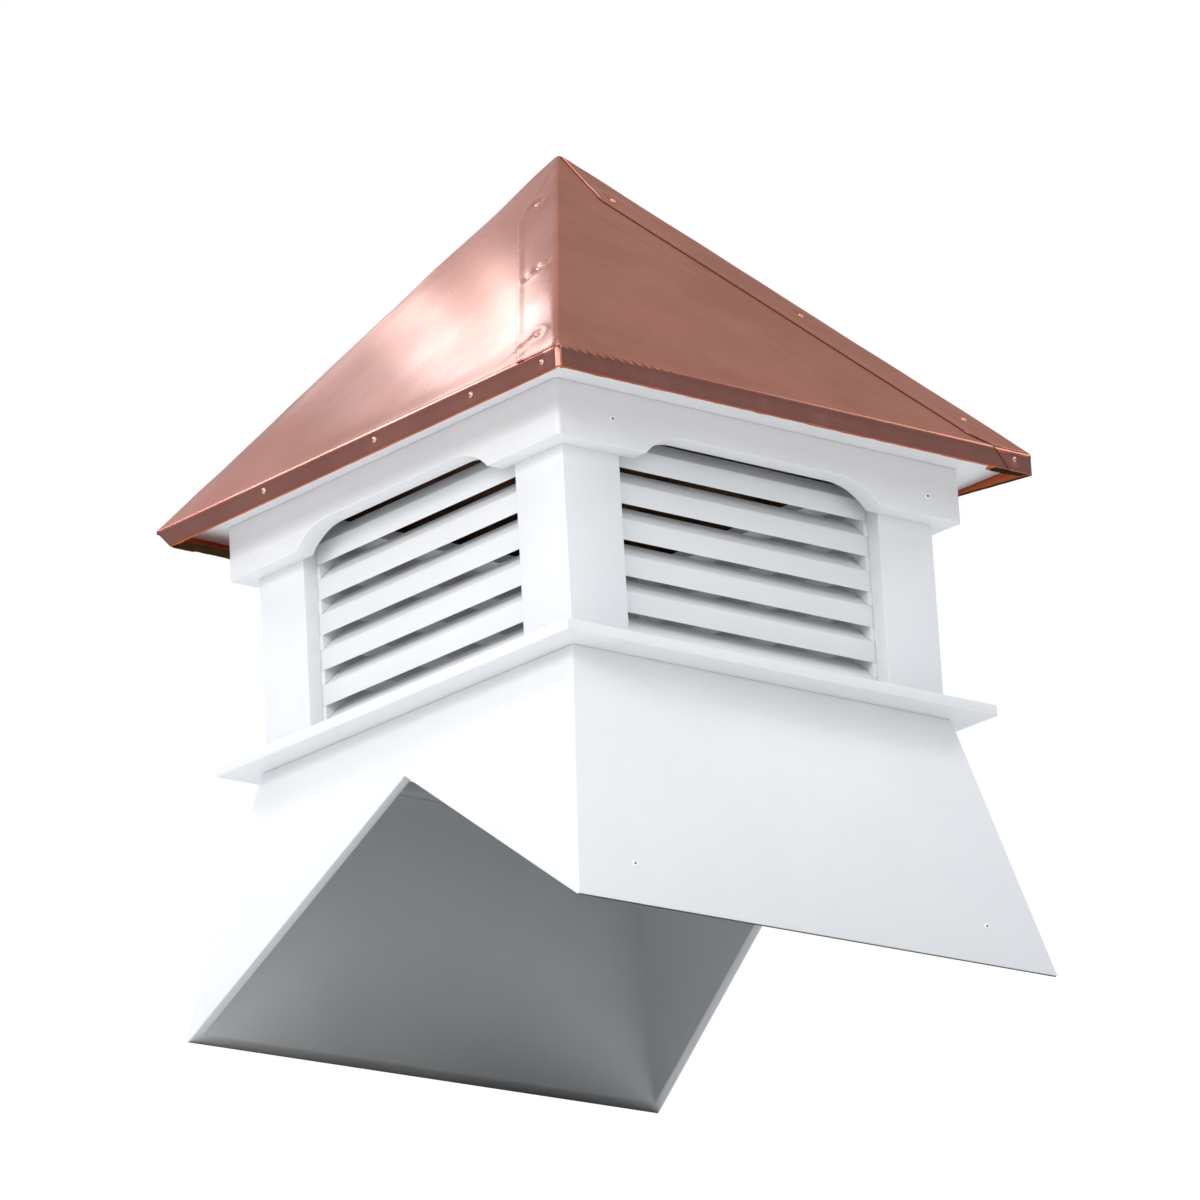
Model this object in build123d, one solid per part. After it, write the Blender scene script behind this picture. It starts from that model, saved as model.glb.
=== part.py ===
from build123d import *
from math import cos, radians, tan
import os

# Barn cupola with a louvred body, a flared saddle-cut base and a hipped copper roof.
# Millimetres, z up, x along the ridge the cupola sits on, front facing -y, z = 0 at the feet.

# body, which the rest is set out from
body_half = 210.0  # outer face of the corner posts
body_height = 218.3  # top of the sill to the soffit
post_face = 63.0
post_board = 15.0

# sill
sill_thick = 10.0
sill_overhang = 32.2  # out past the posts
sill_inside = 18.0  # in under the posts and stiles

# base, flared outward to the bottom and cut over the ridge
base_height = 236.7
base_wall = 10.0  # sheet thickness, measured level
base_top_proud = 3.5  # out past the posts
base_flare = 53.5  # from there to the foot
foot_land = 3.0  # flat left under the front and back walls
house_pitch = 8.0 / 12.0

# louvres
slat_count = 6
slat_pitch = 32.4
slat_lift = 3.3  # lowest slat above the sill
slat_face = 19.0  # upright outer face, flush with the stiles
slat_depth = 17.0
slat_slope = 45.0  # of its top and underside, up and inward
slat_housing = 4.0  # how far each end runs into its stile
slat_play = 0.2  # room around the slat in its housing
stile_shows = 4.5  # past the edge of the post
stile_wide = 16.5
stile_behind = 6.0  # in past the back of the slats

# frieze
frieze_board = 19.0
frieze_drop = 50.0
frieze_corner_radius = 4.0
arch_inset = 14.5  # from the edge of the post to where the arch meets the bottom edge
arch_rise = 19.5
arch_radius = 59.0  # its shoulders

# roof, a little deeper over the front and back than over the sides
eave_over_side = 59.0  # out past the posts
eave_over_front = 71.5
roof_rise = 322.0
peak_x = -10.0  # the sheets came together a little off the middle
peak_y = 7.0
fold_lift = 5.0  # where the copper turns down, above the soffit's face
eave_drop = 19.5
copper = 1.0
hem = 13.0  # width turned in under the eaves
hip_lap = 54.0  # lap over the next face, measured along the eave
deck_board = 9.5
soffit_board = 9.5
soffit_inside = 30.0  # in over the posts and stiles
corner_tabs = {"front": (21.0, 21.0), "right": (44.0, 26.0), "back": (44.0, 26.0), "left": (44.0, 26.0)}

# worked out from the above
quarter_turns = {"front": 0, "right": 90, "back": 180, "left": 270}
laps_onto = {"front": "left", "left": "back", "back": "right", "right": "front"}
tucks_under = {over: under for under, over in laps_onto.items()}
sill_z = base_height
sill_top_z = sill_z + sill_thick
body_top_z = sill_top_z + body_height
opening_half = body_half - post_face
louvre_face = body_half - post_board
slat_half = opening_half - stile_shows
stile_depth = slat_depth + stile_behind
base_top_half = body_half + base_top_proud
base_foot_half = base_top_half + base_flare
frieze_half = body_half + frieze_board
frieze_z = body_top_z - frieze_drop
arch_half = opening_half - arch_inset
roof_half_x = body_half + eave_over_side
roof_half_y = body_half + eave_over_front
fold_z = body_top_z + fold_lift
eave_z = fold_z - eave_drop
apex_z = fold_z + roof_rise
side_view = Plane(origin=(0, 0, 0), x_dir=(0, -1, 0), z_dir=(-1, 0, 0))
front_view = Plane(origin=(0, 0, 0), x_dir=(1, 0, 0), z_dir=(0, -1, 0))
spare = eave_drop / 2  # cutting shapes run this far past what they cut
beyond = 1.05  # and this much past the corners, as a ratio
far = 2 * body_half  # past the whole plan


def block(x0, x1, y0, y1, z0, z1):
    return Pos(x0, y0, z0) * Box(x1 - x0, y1 - y0, z1 - z0, align=Align.MIN)


def plan_prism(points, z0, z1):
    return extrude(Pos(0, 0, z0) * Polygon(*points, align=None), z1 - z0)


def turned(side, shape):
    return Rot(0, 0, quarter_turns[side]) * shape


def half_sizes(side):
    """Half width along a side's eave, then half depth out to it."""
    return (roof_half_x, roof_half_y) if side in ("front", "back") else (roof_half_y, roof_half_x)


def peak_seen(side):
    """The peak's place in plan, in a side's own frame before it is turned."""
    peak = Vector(peak_x, peak_y).rotate(Axis.Z, -quarter_turns[side])
    return peak.X, peak.Y


def quarter(side, along=far, out=far, middle=(0.0, 0.0)):
    """The part of plan belonging to one side, from the middle out through both ends of its edge."""
    u, v = middle
    ends = [(u + beyond * (x - u), v - beyond * (out + v)) for x in (-along, along)]
    return turned(side, plan_prism([middle, *ends], -spare, apex_z + spare))


def roof_quarter(side):
    return quarter(side, *half_sizes(side), peak_seen(side))


def hollow_square(outer, inner, z0, thick):
    ring = Rectangle(2 * outer, 2 * outer) - Rectangle(2 * inner, 2 * inner)
    return extrude(Pos(0, 0, z0) * ring, thick)


def frustum(shrink):
    foot, top = base_foot_half - shrink, base_top_half - shrink
    lower = Rectangle(2 * foot, 2 * foot)
    upper = Pos(0, 0, sill_z) * Rectangle(2 * top, 2 * top)
    return loft([lower, upper])


def house_roof():
    seat = base_foot_half - foot_land
    points = [(-seat, 0), (0, seat * house_pitch), (seat, 0), (seat, -spare), (-seat, -spare)]
    return extrude(side_view * Polygon(*points, align=None), far, both=True)


def slat_section(z, play=0.0):
    """A slat's section on the plane x = 0: upright front and back, sloping up and inward between them."""
    ease = play / cos(radians(slat_slope))
    rise = slat_depth * tan(radians(slat_slope))
    front, back = louvre_face, louvre_face - slat_depth
    points = [
        (front, z - ease),
        (front, z + slat_face + ease),
        (back, z + slat_face + rise + ease),
        (back, z + rise - ease),
    ]
    return side_view * Polygon(*points, align=None)


def slats(half_length, play=0.0):
    levels = [sill_top_z + slat_lift + slat_pitch * n for n in range(slat_count)]
    return [extrude(slat_section(z, play), half_length, both=True) for z in levels]


def louvre_stiles():
    inner, outer = slat_half, slat_half + stile_wide
    right = block(inner, outer, -louvre_face, stile_depth - louvre_face, sill_top_z, body_top_z)
    pair = right + mirror(right, Plane.YZ)
    for slat in slats(slat_half + slat_housing + slat_play, slat_play):
        pair -= slat
    return pair


def arch():
    """The opening under the frieze: a flat head with rounded shoulders, sharp where it meets the edge."""
    drop = arch_radius - arch_rise
    shoulder = (arch_radius**2 - drop**2) ** 0.5
    head_z, flat, low = frieze_z + arch_rise, arch_half - shoulder, frieze_z - spare
    outline = Polyline((-arch_half, frieze_z), (-arch_half, low), (arch_half, low), (arch_half, frieze_z))
    outline += RadiusArc((arch_half, frieze_z), (flat, head_z), -arch_radius)
    outline += Line((flat, head_z), (-flat, head_z))
    outline += RadiusArc((-flat, head_z), (-arch_half, frieze_z), -arch_radius)
    return extrude(front_view * make_face(outline), far)


def frieze_ring():
    outline = RectangleRounded(2 * frieze_half, 2 * frieze_half, frieze_corner_radius)
    outline -= Rectangle(2 * body_half, 2 * body_half)
    return extrude(Pos(0, 0, frieze_z) * outline, frieze_drop)


def corner_post():
    angle = block(-body_half, -opening_half, -body_half, -opening_half, sill_top_z, body_top_z)
    return angle - block(-louvre_face, 0, -louvre_face, 0, sill_top_z, body_top_z)


def under_slope(side, out=0.0, edge_out=0.0, low=eave_z):
    """All that lies under one roof plane and inside its eave face, each moved out by so much."""
    eave = half_sizes(side)[1]
    slope = roof_rise / (eave + peak_seen(side)[1])
    edge, top = eave + edge_out, fold_z + slope * eave + out * (1 + slope**2) ** 0.5
    points = [(-far, low), (edge, low), (edge, top - slope * edge), (-far, top + slope * far)]
    return turned(side, extrude(side_view * Polygon(*points, align=None), far, both=True))


def roof_sheet(side):
    """One slope's copper, folded down and in at the eave and lapped over the hip onto the next slope."""
    over, under = laps_onto[side], tucks_under[side]
    along, out = half_sizes(side)
    u, v = peak_seen(side)
    skin = under_slope(side) - under_slope(side, -copper, -copper, eave_z - spare)
    skin &= under_slope(over, copper, copper)
    skin &= under_slope(under, -copper, -copper)

    layer = under_slope(over, copper, copper) - under_slope(over, low=eave_z - spare)
    layer &= under_slope(side)
    foot_u, foot_v = u - beyond * (along + u), v - beyond * (out + v)
    on_slope = [
        (u - copper, v - copper),
        (foot_u, foot_v),
        (foot_u, foot_v + hip_lap),
        (u - (along + u) * hip_lap / (out + v), v),
        (u - copper, v),
    ]
    lap = layer & turned(side, plan_prism(on_slope, fold_z, apex_z + spare))
    wide, narrow = corner_tabs[side]
    past, top = out + spare, fold_z + copper
    on_eave = [(past, eave_z), (out - narrow, eave_z), (out - wide, top), (past, top)]
    lap += layer & turned(side, extrude(side_view * Polygon(*on_eave, align=None), far))

    corners = [(-1, copper), (1, copper), (1, hem), (-1, hem)]
    points = [(turn * (along - inset), -(out - inset)) for turn, inset in corners]
    return skin + lap + turned(side, plan_prism(points, eave_z, eave_z + copper))


def roof_deck(side):
    board = under_slope(side, -copper, -copper)
    board -= under_slope(side, -copper - deck_board, spare, eave_z - spare)
    for neighbour in (laps_onto[side], tucks_under[side]):
        board &= under_slope(neighbour, -copper, -copper)
    return board & roof_quarter(side)


def soffit(side):
    ring = hollow_square(far, body_half - soffit_inside, body_top_z, soffit_board)
    return ring & under_slope(side, -copper - deck_board, -copper) & roof_quarter(side)


base = frustum(0) - frustum(base_wall) - house_roof()
sill = hollow_square(body_half + sill_overhang, body_half - sill_inside, sill_z, sill_thick)
frieze = frieze_ring()
corner_names = {"front": "front_left", "right": "front_right", "back": "back_right", "left": "back_left"}

pieces = {}
for side in quarter_turns:
    pieces[f"base_wall_{side}"] = base & quarter(side)
    pieces[f"sill_{side}"] = sill & quarter(side)
    pieces[f"corner_post_{corner_names[side]}"] = turned(side, corner_post())
    pieces[f"louvre_stiles_{side}"] = turned(side, louvre_stiles())
    pieces[f"louvre_slats_{side}"] = turned(side, Compound(slats(slat_half + slat_housing)))
    pieces[f"frieze_{side}"] = frieze & quarter(side) - turned(side, arch())
    pieces[f"soffit_{side}"] = soffit(side)
    pieces[f"roof_deck_{side}"] = roof_deck(side)
    pieces[f"roof_sheet_{side}"] = roof_sheet(side)

os.makedirs("parts", exist_ok=True)
for name, shape in pieces.items():
    shape.label = name
    export_step(shape, f"parts/{name}.step")
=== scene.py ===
import bpy
import bmesh
import math
from mathutils import Euler, Matrix, Vector, noise


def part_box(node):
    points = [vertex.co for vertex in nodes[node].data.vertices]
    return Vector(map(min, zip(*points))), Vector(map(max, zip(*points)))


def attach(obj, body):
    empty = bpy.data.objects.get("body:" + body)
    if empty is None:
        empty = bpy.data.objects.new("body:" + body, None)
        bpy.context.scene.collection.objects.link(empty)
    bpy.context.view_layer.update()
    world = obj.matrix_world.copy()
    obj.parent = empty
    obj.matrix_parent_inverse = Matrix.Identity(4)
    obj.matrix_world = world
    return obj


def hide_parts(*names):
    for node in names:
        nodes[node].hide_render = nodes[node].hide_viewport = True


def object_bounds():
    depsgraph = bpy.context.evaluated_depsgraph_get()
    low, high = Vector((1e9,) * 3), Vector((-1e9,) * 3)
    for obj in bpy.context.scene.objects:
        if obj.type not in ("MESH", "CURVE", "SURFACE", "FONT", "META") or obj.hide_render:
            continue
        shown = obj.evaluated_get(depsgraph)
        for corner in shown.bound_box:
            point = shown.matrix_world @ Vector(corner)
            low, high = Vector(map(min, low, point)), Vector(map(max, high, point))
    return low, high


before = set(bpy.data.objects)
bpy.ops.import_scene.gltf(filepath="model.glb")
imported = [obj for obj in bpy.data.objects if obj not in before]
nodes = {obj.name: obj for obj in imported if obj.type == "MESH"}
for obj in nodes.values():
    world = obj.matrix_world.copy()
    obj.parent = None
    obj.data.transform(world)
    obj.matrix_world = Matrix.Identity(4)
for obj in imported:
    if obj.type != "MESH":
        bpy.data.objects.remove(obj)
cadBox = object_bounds()
mm = 0.001
mergeGap = 0.01 * mm  # points of one board nearer than this are one point
seamGap = 0.02 * mm  # and so are those where two stretches of one sheet meet
sides = ("front", "right", "back", "left")
quarterTurns = {"front": 0, "right": 90, "back": 180, "left": 270}
lapsOnto = {"front": "left", "left": "back", "back": "right", "right": "front"}
tucksUnder = {under: over for over, under in lapsOnto.items()}
print("frame loaded,", len(nodes), "nodes")


# small helpers

def linear(hexColour):
    channels = [int(hexColour[i:i + 2], 16) / 255 for i in (1, 3, 5)]
    light = [c / 12.92 if c <= 0.04045 else ((c + 0.055) / 1.055) ** 2.4 for c in channels]
    return (*light, 1.0)


def smooth(x):
    x = min(max(x, 0.0), 1.0)
    return x * x * (3 - 2 * x)


def addNode(tree, kind, settings=None, inputs=None):
    node = tree.nodes.new(kind)
    for name, value in (settings or {}).items():
        setattr(node, name, value)
    for name, value in (inputs or {}).items():
        if isinstance(value, bpy.types.NodeSocket):
            tree.links.new(value, node.inputs[name])
        else:
            node.inputs[name].default_value = value
    return node


def newMaterial(name):
    material = bpy.data.materials.new(name)
    material.use_nodes = True
    tree = material.node_tree
    tree.nodes.clear()
    shader = addNode(tree, "ShaderNodeBsdfPrincipled")
    addNode(tree, "ShaderNodeOutputMaterial", {}, {"Surface": shader.outputs["BSDF"]})
    place = addNode(tree, "ShaderNodeTexCoord").outputs["Object"]
    return material, tree, shader, place


def turned(side, u, v, z):
    a = math.radians(quarterTurns[side])
    return Vector((u * math.cos(a) - v * math.sin(a), u * math.sin(a) + v * math.cos(a), z))


def newPiece(name, mesh, material):
    mesh.materials.append(material)
    piece = bpy.data.objects.new(name, mesh)
    bpy.context.collection.objects.link(piece)
    return piece


def meshPiece(name, points, faces, material):
    mesh = bpy.data.meshes.new(name)
    mesh.from_pydata([tuple(p) for p in points], [], faces)
    return newPiece(name, mesh, material)


def cleaned(piece):
    # glues the seams, drops points that no face uses and turns every face outward
    tidy = bmesh.new()
    tidy.from_mesh(piece.data)
    bmesh.ops.remove_doubles(tidy, verts=tidy.verts, dist=seamGap)
    loose = [v for v in tidy.verts if not v.link_faces]
    bmesh.ops.delete(tidy, geom=loose, context="VERTS")
    bmesh.ops.recalc_face_normals(tidy, faces=tidy.faces)
    tidy.to_mesh(piece.data)
    tidy.free()


def gathered(name, members, trim, glue, material):
    # the boards of several nodes in one piece, each trimmed first
    whole = bmesh.new()
    for member in members:
        part = bmesh.new()
        part.from_mesh(nodes[member].data)
        bmesh.ops.remove_doubles(part, verts=part.verts, dist=mergeGap)
        trim(part)
        mesh = bpy.data.meshes.new("part")
        part.to_mesh(mesh)
        part.free()
        whole.from_mesh(mesh)
        bpy.data.meshes.remove(mesh)
    if glue:
        bmesh.ops.remove_doubles(whole, verts=whole.verts, dist=glue)
        bmesh.ops.recalc_face_normals(whole, faces=whole.faces)
    mesh = bpy.data.meshes.new(name)
    whole.to_mesh(mesh)
    whole.free()
    return newPiece(name, mesh, material)


def applied(piece):
    # bake the modifiers into the mesh
    graph = bpy.context.evaluated_depsgraph_get()
    mesh = bpy.data.meshes.new_from_object(piece.evaluated_get(graph))
    old = piece.data
    piece.modifiers.clear()
    piece.data = mesh
    bpy.data.meshes.remove(old)


def shaded(piece, degrees):
    for face in piece.data.polygons:
        face.use_smooth = True
    piece.data.set_sharp_from_angle(angle=math.radians(degrees))


# materials

# partly painted reflection: the sheet's brown is its thin haze and also the darker surroundings it
# reflects, painted into the colour
copperHazeAndReflection = {
    "colour": "#A96D5E",
    "hazed": "#9C6456",  # where handling and weather have dulled it
    "edge": "#D4CDC9",  # how much it whitens at a glancing angle
    "roughness": 0.27,
    "cloudSize": 90 * mm,
    "grainSize": 1.2 * mm,  # mill grain is nearer 0.1 mm, drawn coarser so that it shows
    "grainDeep": 0.05 * mm,
}
# painted reflection: the inside and the thin hems are coloured a brighter orange to stand in for
# light bouncing between the copper faces and off the boards
copperOrangeReflected = {
    **copperHazeAndReflection,
    "colour": "#C96A42",
    "hazed": "#B85C38",
    "edge": "#D8CCC4",
    "roughness": 0.34,
}
# painted shade: the hem's copper is coloured near black for the shade it lies in and the dark
# surroundings it reflects
copperHemShade = {
    **copperHazeAndReflection,
    "colour": "#423A2E",
    "hazed": "#2C2722",
    "edge": "#B8ACA0",
    "roughness": 0.42,
}
# painted highlight: the nail heads' copper is paler than the sheet to stand in for their glint
copperNailHighlight = {**copperHazeAndReflection, "colour": "#E0B09C", "hazed": "#D29C86", "roughness": 0.24}
cellularPvc = {
    "colour": "#EDEEEF",
    "shaded": "#E6E8EA",
    "roughness": 0.42,
    "ior": 1.53,
    "shadeSize": 60 * mm,
    "skinSize": 2.5 * mm,
    "skinDeep": 0.05 * mm,
}
firPlywood = {
    "colour": "#7A5033",
    "late": "#4E3120",
    "roughness": 0.8,
    "ringSize": 5 * mm,  # the late-wood bands lie about six times this apart
    "ringDeep": 0.2 * mm,
}
screwEnamel = {"colour": "#FDFDFC", "worn": "#F4F4F2", "wearSize": 1.5 * mm, "roughness": 0.25}
# painted shade: the screws' recesses are coloured dark grey for the shade inside them
recessShadeColour = {"colour": "#5A5652", "deep": "#3A3836", "mottleSize": 0.8 * mm, "roughness": 0.6}


def makeCopper(name, spec):
    # rolled sheet copper some weeks old: still bright, with a thin brown haze in soft clouds
    # and a fine satin grain; its brown is partly that haze and partly painted reflection of darker
    # surroundings.
    # The copies carry painted light: the inside and thin hems are a brighter orange as painted
    # reflection, the other hems near black as painted shade, and the nail heads paler as a painted
    # highlight
    material, tree, shader, place = newMaterial(name)
    clouds = addNode(tree, "ShaderNodeTexNoise", {}, {
        "Vector": place, "Scale": 1 / spec["cloudSize"], "Detail": 3.0})
    grain = addNode(tree, "ShaderNodeTexNoise", {}, {
        "Vector": place, "Scale": 1 / spec["grainSize"], "Detail": 2.0})
    spread = addNode(tree, "ShaderNodeMapRange", {}, {
        "Value": clouds.outputs["Fac"], "From Min": 0.35, "From Max": 0.65})
    tone = addNode(tree, "ShaderNodeMix", {"data_type": "RGBA"}, {
        "Factor": spread.outputs["Result"], 6: linear(spec["colour"]), 7: linear(spec["hazed"])})
    speckle = addNode(tree, "ShaderNodeMapRange", {}, {
        "Value": grain.outputs["Fac"],
        "From Min": 0.3, "From Max": 0.7, "To Min": 0.94, "To Max": 1.06})
    grained = addNode(tree, "ShaderNodeMix", {"data_type": "RGBA", "blend_type": "MULTIPLY"}, {
        "Factor": 1.0, 6: tone.outputs[2], 7: speckle.outputs["Result"]})
    rough = addNode(tree, "ShaderNodeMapRange", {}, {
        "Value": clouds.outputs["Fac"], "From Min": 0.3, "From Max": 0.7,
        "To Min": spec["roughness"] - 0.02, "To Max": spec["roughness"] + 0.04})
    bump = addNode(tree, "ShaderNodeBump", {}, {
        "Strength": 0.10, "Distance": spec["grainDeep"], "Height": grain.outputs["Fac"]})
    tree.links.new(grained.outputs[2], shader.inputs["Base Color"])
    tree.links.new(rough.outputs["Result"], shader.inputs["Roughness"])
    tree.links.new(bump.outputs["Normal"], shader.inputs["Normal"])
    shader.inputs["Metallic"].default_value = 1.0
    shader.inputs["Specular Tint"].default_value = linear(spec["edge"])
    return material


def makePvc():
    # extruded cellular PVC trim board, left unpainted: satin white, its skin faintly rippled
    material, tree, shader, place = newMaterial("extrudedCellularPvc")
    spec = cellularPvc
    skin = addNode(tree, "ShaderNodeTexNoise", {}, {
        "Vector": place, "Scale": 1 / spec["skinSize"], "Detail": 2.0})
    wide = addNode(tree, "ShaderNodeTexNoise", {}, {
        "Vector": place, "Scale": 1 / spec["shadeSize"], "Detail": 3.0})
    tone = addNode(tree, "ShaderNodeMix", {"data_type": "RGBA"}, {
        "Factor": wide.outputs["Fac"], 6: linear(spec["colour"]), 7: linear(spec["shaded"])})
    rough = addNode(tree, "ShaderNodeMapRange", {}, {
        "Value": wide.outputs["Fac"],
        "To Min": spec["roughness"] - 0.04, "To Max": spec["roughness"] + 0.04})
    bump = addNode(tree, "ShaderNodeBump", {}, {
        "Strength": 0.15, "Distance": spec["skinDeep"], "Height": skin.outputs["Fac"]})
    tree.links.new(tone.outputs[2], shader.inputs["Base Color"])
    tree.links.new(rough.outputs["Result"], shader.inputs["Roughness"])
    tree.links.new(bump.outputs["Normal"], shader.inputs["Normal"])
    shader.inputs["IOR"].default_value = spec["ior"]
    return material


def makePlywood():
    # bare rotary-cut fir plywood in the shade: brown, with slow wandering late-wood bands.
    # The wave texture turns by 20 radians in each of its units
    material, tree, shader, place = newMaterial("bareFirPlywood")
    spec = firPlywood
    rings = addNode(tree, "ShaderNodeTexWave", {"bands_direction": "Z"}, {
        "Vector": place, "Scale": 1 / (20 * spec["ringSize"]), "Distortion": 9.0, "Detail": 3.0})
    tone = addNode(tree, "ShaderNodeMix", {"data_type": "RGBA"}, {
        "Factor": rings.outputs["Fac"], 6: linear(spec["colour"]), 7: linear(spec["late"])})
    bump = addNode(tree, "ShaderNodeBump", {}, {
        "Strength": 0.3, "Distance": spec["ringDeep"], "Height": rings.outputs["Fac"]})
    tree.links.new(tone.outputs[2], shader.inputs["Base Color"])
    tree.links.new(bump.outputs["Normal"], shader.inputs["Normal"])
    shader.inputs["Roughness"].default_value = spec["roughness"]
    return material


def makeEnamel():
    # stoved white enamel on the screw heads, whiter and glossier than the boards
    material, tree, shader, place = newMaterial("whiteScrewEnamel")
    spec = screwEnamel
    wear = addNode(tree, "ShaderNodeTexNoise", {}, {
        "Vector": place, "Scale": 1 / spec["wearSize"], "Detail": 2.0})
    tone = addNode(tree, "ShaderNodeMix", {"data_type": "RGBA"}, {
        "Factor": wear.outputs["Fac"], 6: linear(spec["colour"]), 7: linear(spec["worn"])})
    tree.links.new(tone.outputs[2], shader.inputs["Base Color"])
    shader.inputs["Roughness"].default_value = spec["roughness"]
    return material


def makeRecess():
    # the bare steel deep in a screw's recess, coloured dark as painted shade for the shade in it,
    # mottled at random
    material, tree, shader, place = newMaterial("screwRecessPaintedShade")
    spec = recessShadeColour
    mottle = addNode(tree, "ShaderNodeTexNoise", {}, {
        "Vector": place, "Scale": 1 / spec["mottleSize"], "Detail": 2.0})
    tone = addNode(tree, "ShaderNodeMix", {"data_type": "RGBA"}, {
        "Factor": mottle.outputs["Fac"], 6: linear(spec["colour"]), 7: linear(spec["deep"])})
    tree.links.new(tone.outputs[2], shader.inputs["Base Color"])
    shader.inputs["Roughness"].default_value = spec["roughness"]
    return material


copper = makeCopper("rolledCopperHazeAndReflection", copperHazeAndReflection)
orangeCopperReflected = makeCopper("orangeCopperPaintedReflection", copperOrangeReflected)
hemShadeCopper = makeCopper("hemCopperPaintedShade", copperHemShade)
nailHighlightCopper = makeCopper("nailCopperPaintedHighlight", copperNailHighlight)
pvc = makePvc()
plywood = makePlywood()
enamel = makeEnamel()
recess = makeRecess()
# the solids get their finishes too, since the stiles are shown as they are
for name, node in nodes.items():
    finish = pvc
    if name.startswith("roof_deck"):
        finish = plywood
    if name.startswith("roof_sheet"):
        finish = copper
    for slot in node.material_slots:
        slot.material = finish
print("materials made")


# white boards, each with its edges eased

boards = {
    "base_wall": {"name": "flaredBase", "ease": 1.2 * mm},
    "sill": {"name": "sillRing", "ease": 0.8 * mm},
    "frieze": {"name": "friezeRing", "ease": 1.0 * mm},
    "corner_post": {"name": "cornerPosts", "ease": 0.8 * mm},
    "louvre_slats": {"name": "louvreSlats", "ease": 0.5 * mm},
}
easing = {
    "mitre": 0.02 * mm,  # how near to the diagonal a mitre's points lie
    "glue": 0.03 * mm,  # points of neighbouring boards nearer than this are joined
    "flat": 0.5,  # degrees, below which two faces are made one
    "sharp": 35,  # degrees, above which an edge is eased
    "shade": 40,  # degrees, above which it shades as an edge
    "segments": 3,
}


def isMitre(face):
    # upright, square to a diagonal of the plan and lying on it
    facing = face.normal
    if abs(abs(facing.x) - abs(facing.y)) >= 0.01 or abs(facing.z) >= 0.01:
        return False
    return all(abs(abs(v.co.x) - abs(v.co.y)) < easing["mitre"] for v in face.verts)


def trimmedBoard(part):
    # flat faces made one and the mitres opened
    bmesh.ops.dissolve_limit(
        part, angle_limit=math.radians(easing["flat"]), verts=part.verts, edges=part.edges)
    mitres = [face for face in part.faces if isMitre(face)]
    bmesh.ops.delete(part, geom=mitres, context="FACES_ONLY")


def easedBoards(group, spec):
    # the corners of a ring are glued, so its mitres don't show
    members = [name for name in nodes if name.startswith(group + "_")]
    piece = gathered(spec["name"], members, trimmedBoard, easing["glue"], pvc)
    bevel = piece.modifiers.new("ease", "BEVEL")
    bevel.width = spec["ease"]
    bevel.segments = easing["segments"]
    bevel.limit_method = "ANGLE"
    bevel.angle_limit = math.radians(easing["sharp"])
    applied(piece)
    shaded(piece, easing["shade"])
    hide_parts(*members)
    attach(piece, "root")


for group, spec in boards.items():
    easedBoards(group, spec)
print("boards eased")


# copper roof: one sheet to a slope, folded over the eave and round one hip onto the next slope

foldLift = 5 * mm  # of the eave's fold, above the soffit's face
cadCopper = 1 * mm  # how thick the copper is in the solids
peak = Vector((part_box("roof_deck_left")[1].x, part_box("roof_deck_front")[1].y, cadBox[1].z))
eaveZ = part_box("roof_sheet_front")[0].z
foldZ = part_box("soffit_front")[0].z + foldLift
halfX = cadBox[1].x - cadCopper
halfY = cadBox[1].y - cadCopper
rise = peak.z - foldZ
drop = foldZ - eaveZ
roofSheets = {
    "thickness": 0.7 * mm,
    "lapStands": 0.8 * mm,
    "lapRamp": 6 * mm,  # from the hip, over which a lap comes up
    "lapNose": 0.45 * mm,  # the folded edge of a lap stands this much higher again
    "noseWide": 12 * mm,
    "noseRamp": 9 * mm,
    "noseRound": 1.6 * mm,
    "sunk": 0.9 * mm,  # how far a sheet's right edge dips under its neighbour's lap
    "sunkWide": 10 * mm,
    "sunkEdge": 2 * mm,
    "tuck": 5 * mm,  # it stops short of the hip there by this
    "runOut": 16 * mm,  # above the eave, where a lap's edge swings over to its tab
    "hipBend": 3.0 * mm,
    "cornerBend": {"front": 6.5 * mm, "right": 3.5 * mm, "back": 4.0 * mm, "left": 3.0 * mm},
    "cornerFrom": 0.97,  # share of the way down where the hip's bend starts to widen to this
    "cornerIn": 3 * mm,  # how far in along the hem the corner is still rounded
    "eaveBend": 4.0 * mm,
    "eaveBead": 0.65 * mm,  # how far the fold stands off the eave's edge
    "beadReach": 3.2 * mm,
    "lowerBend": 1.6 * mm,
    "bandStands": 0.95 * mm,  # the most that anything on the eave's band stands out
    "blunt": 2.0 * mm,  # how much of the peak is lost where the sheets are beaten together
    "peakRamp": 0.03,  # share of the way down, over which the relief starts
    "shade": 62,  # degrees, above which an edge shades as one
    "mesh": 4.0 * mm,
    "lapMesh": 2.2 * mm,
    "pleatMesh": 1.9 * mm,  # over the first stretch of the eaves that are beaten most
    "pleatRun": 130 * mm,
}
# how far apart the mesh runs by a fold, by a lap's edge, down an eave's band and in along its hem
fineSteps = [x * mm for x in (0, 0.6, 1.2, 1.9, 2.8, 4.2, 6.5, 10)]
noseSteps = [x * mm for x in (0, 0.3, 0.7, 1.2, 1.8, 3.0)]
bandSteps = [x * mm for x in (0.6, 1.2, 1.9, 2.7, 4.2, 6, 8, 10, 12, 14, 15.6, 17, 17.9, 18.5, 19)]
hemShares = (0.05, 0.1, 0.17, 0.3, 0.5, 0.75, 1.0)
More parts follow.
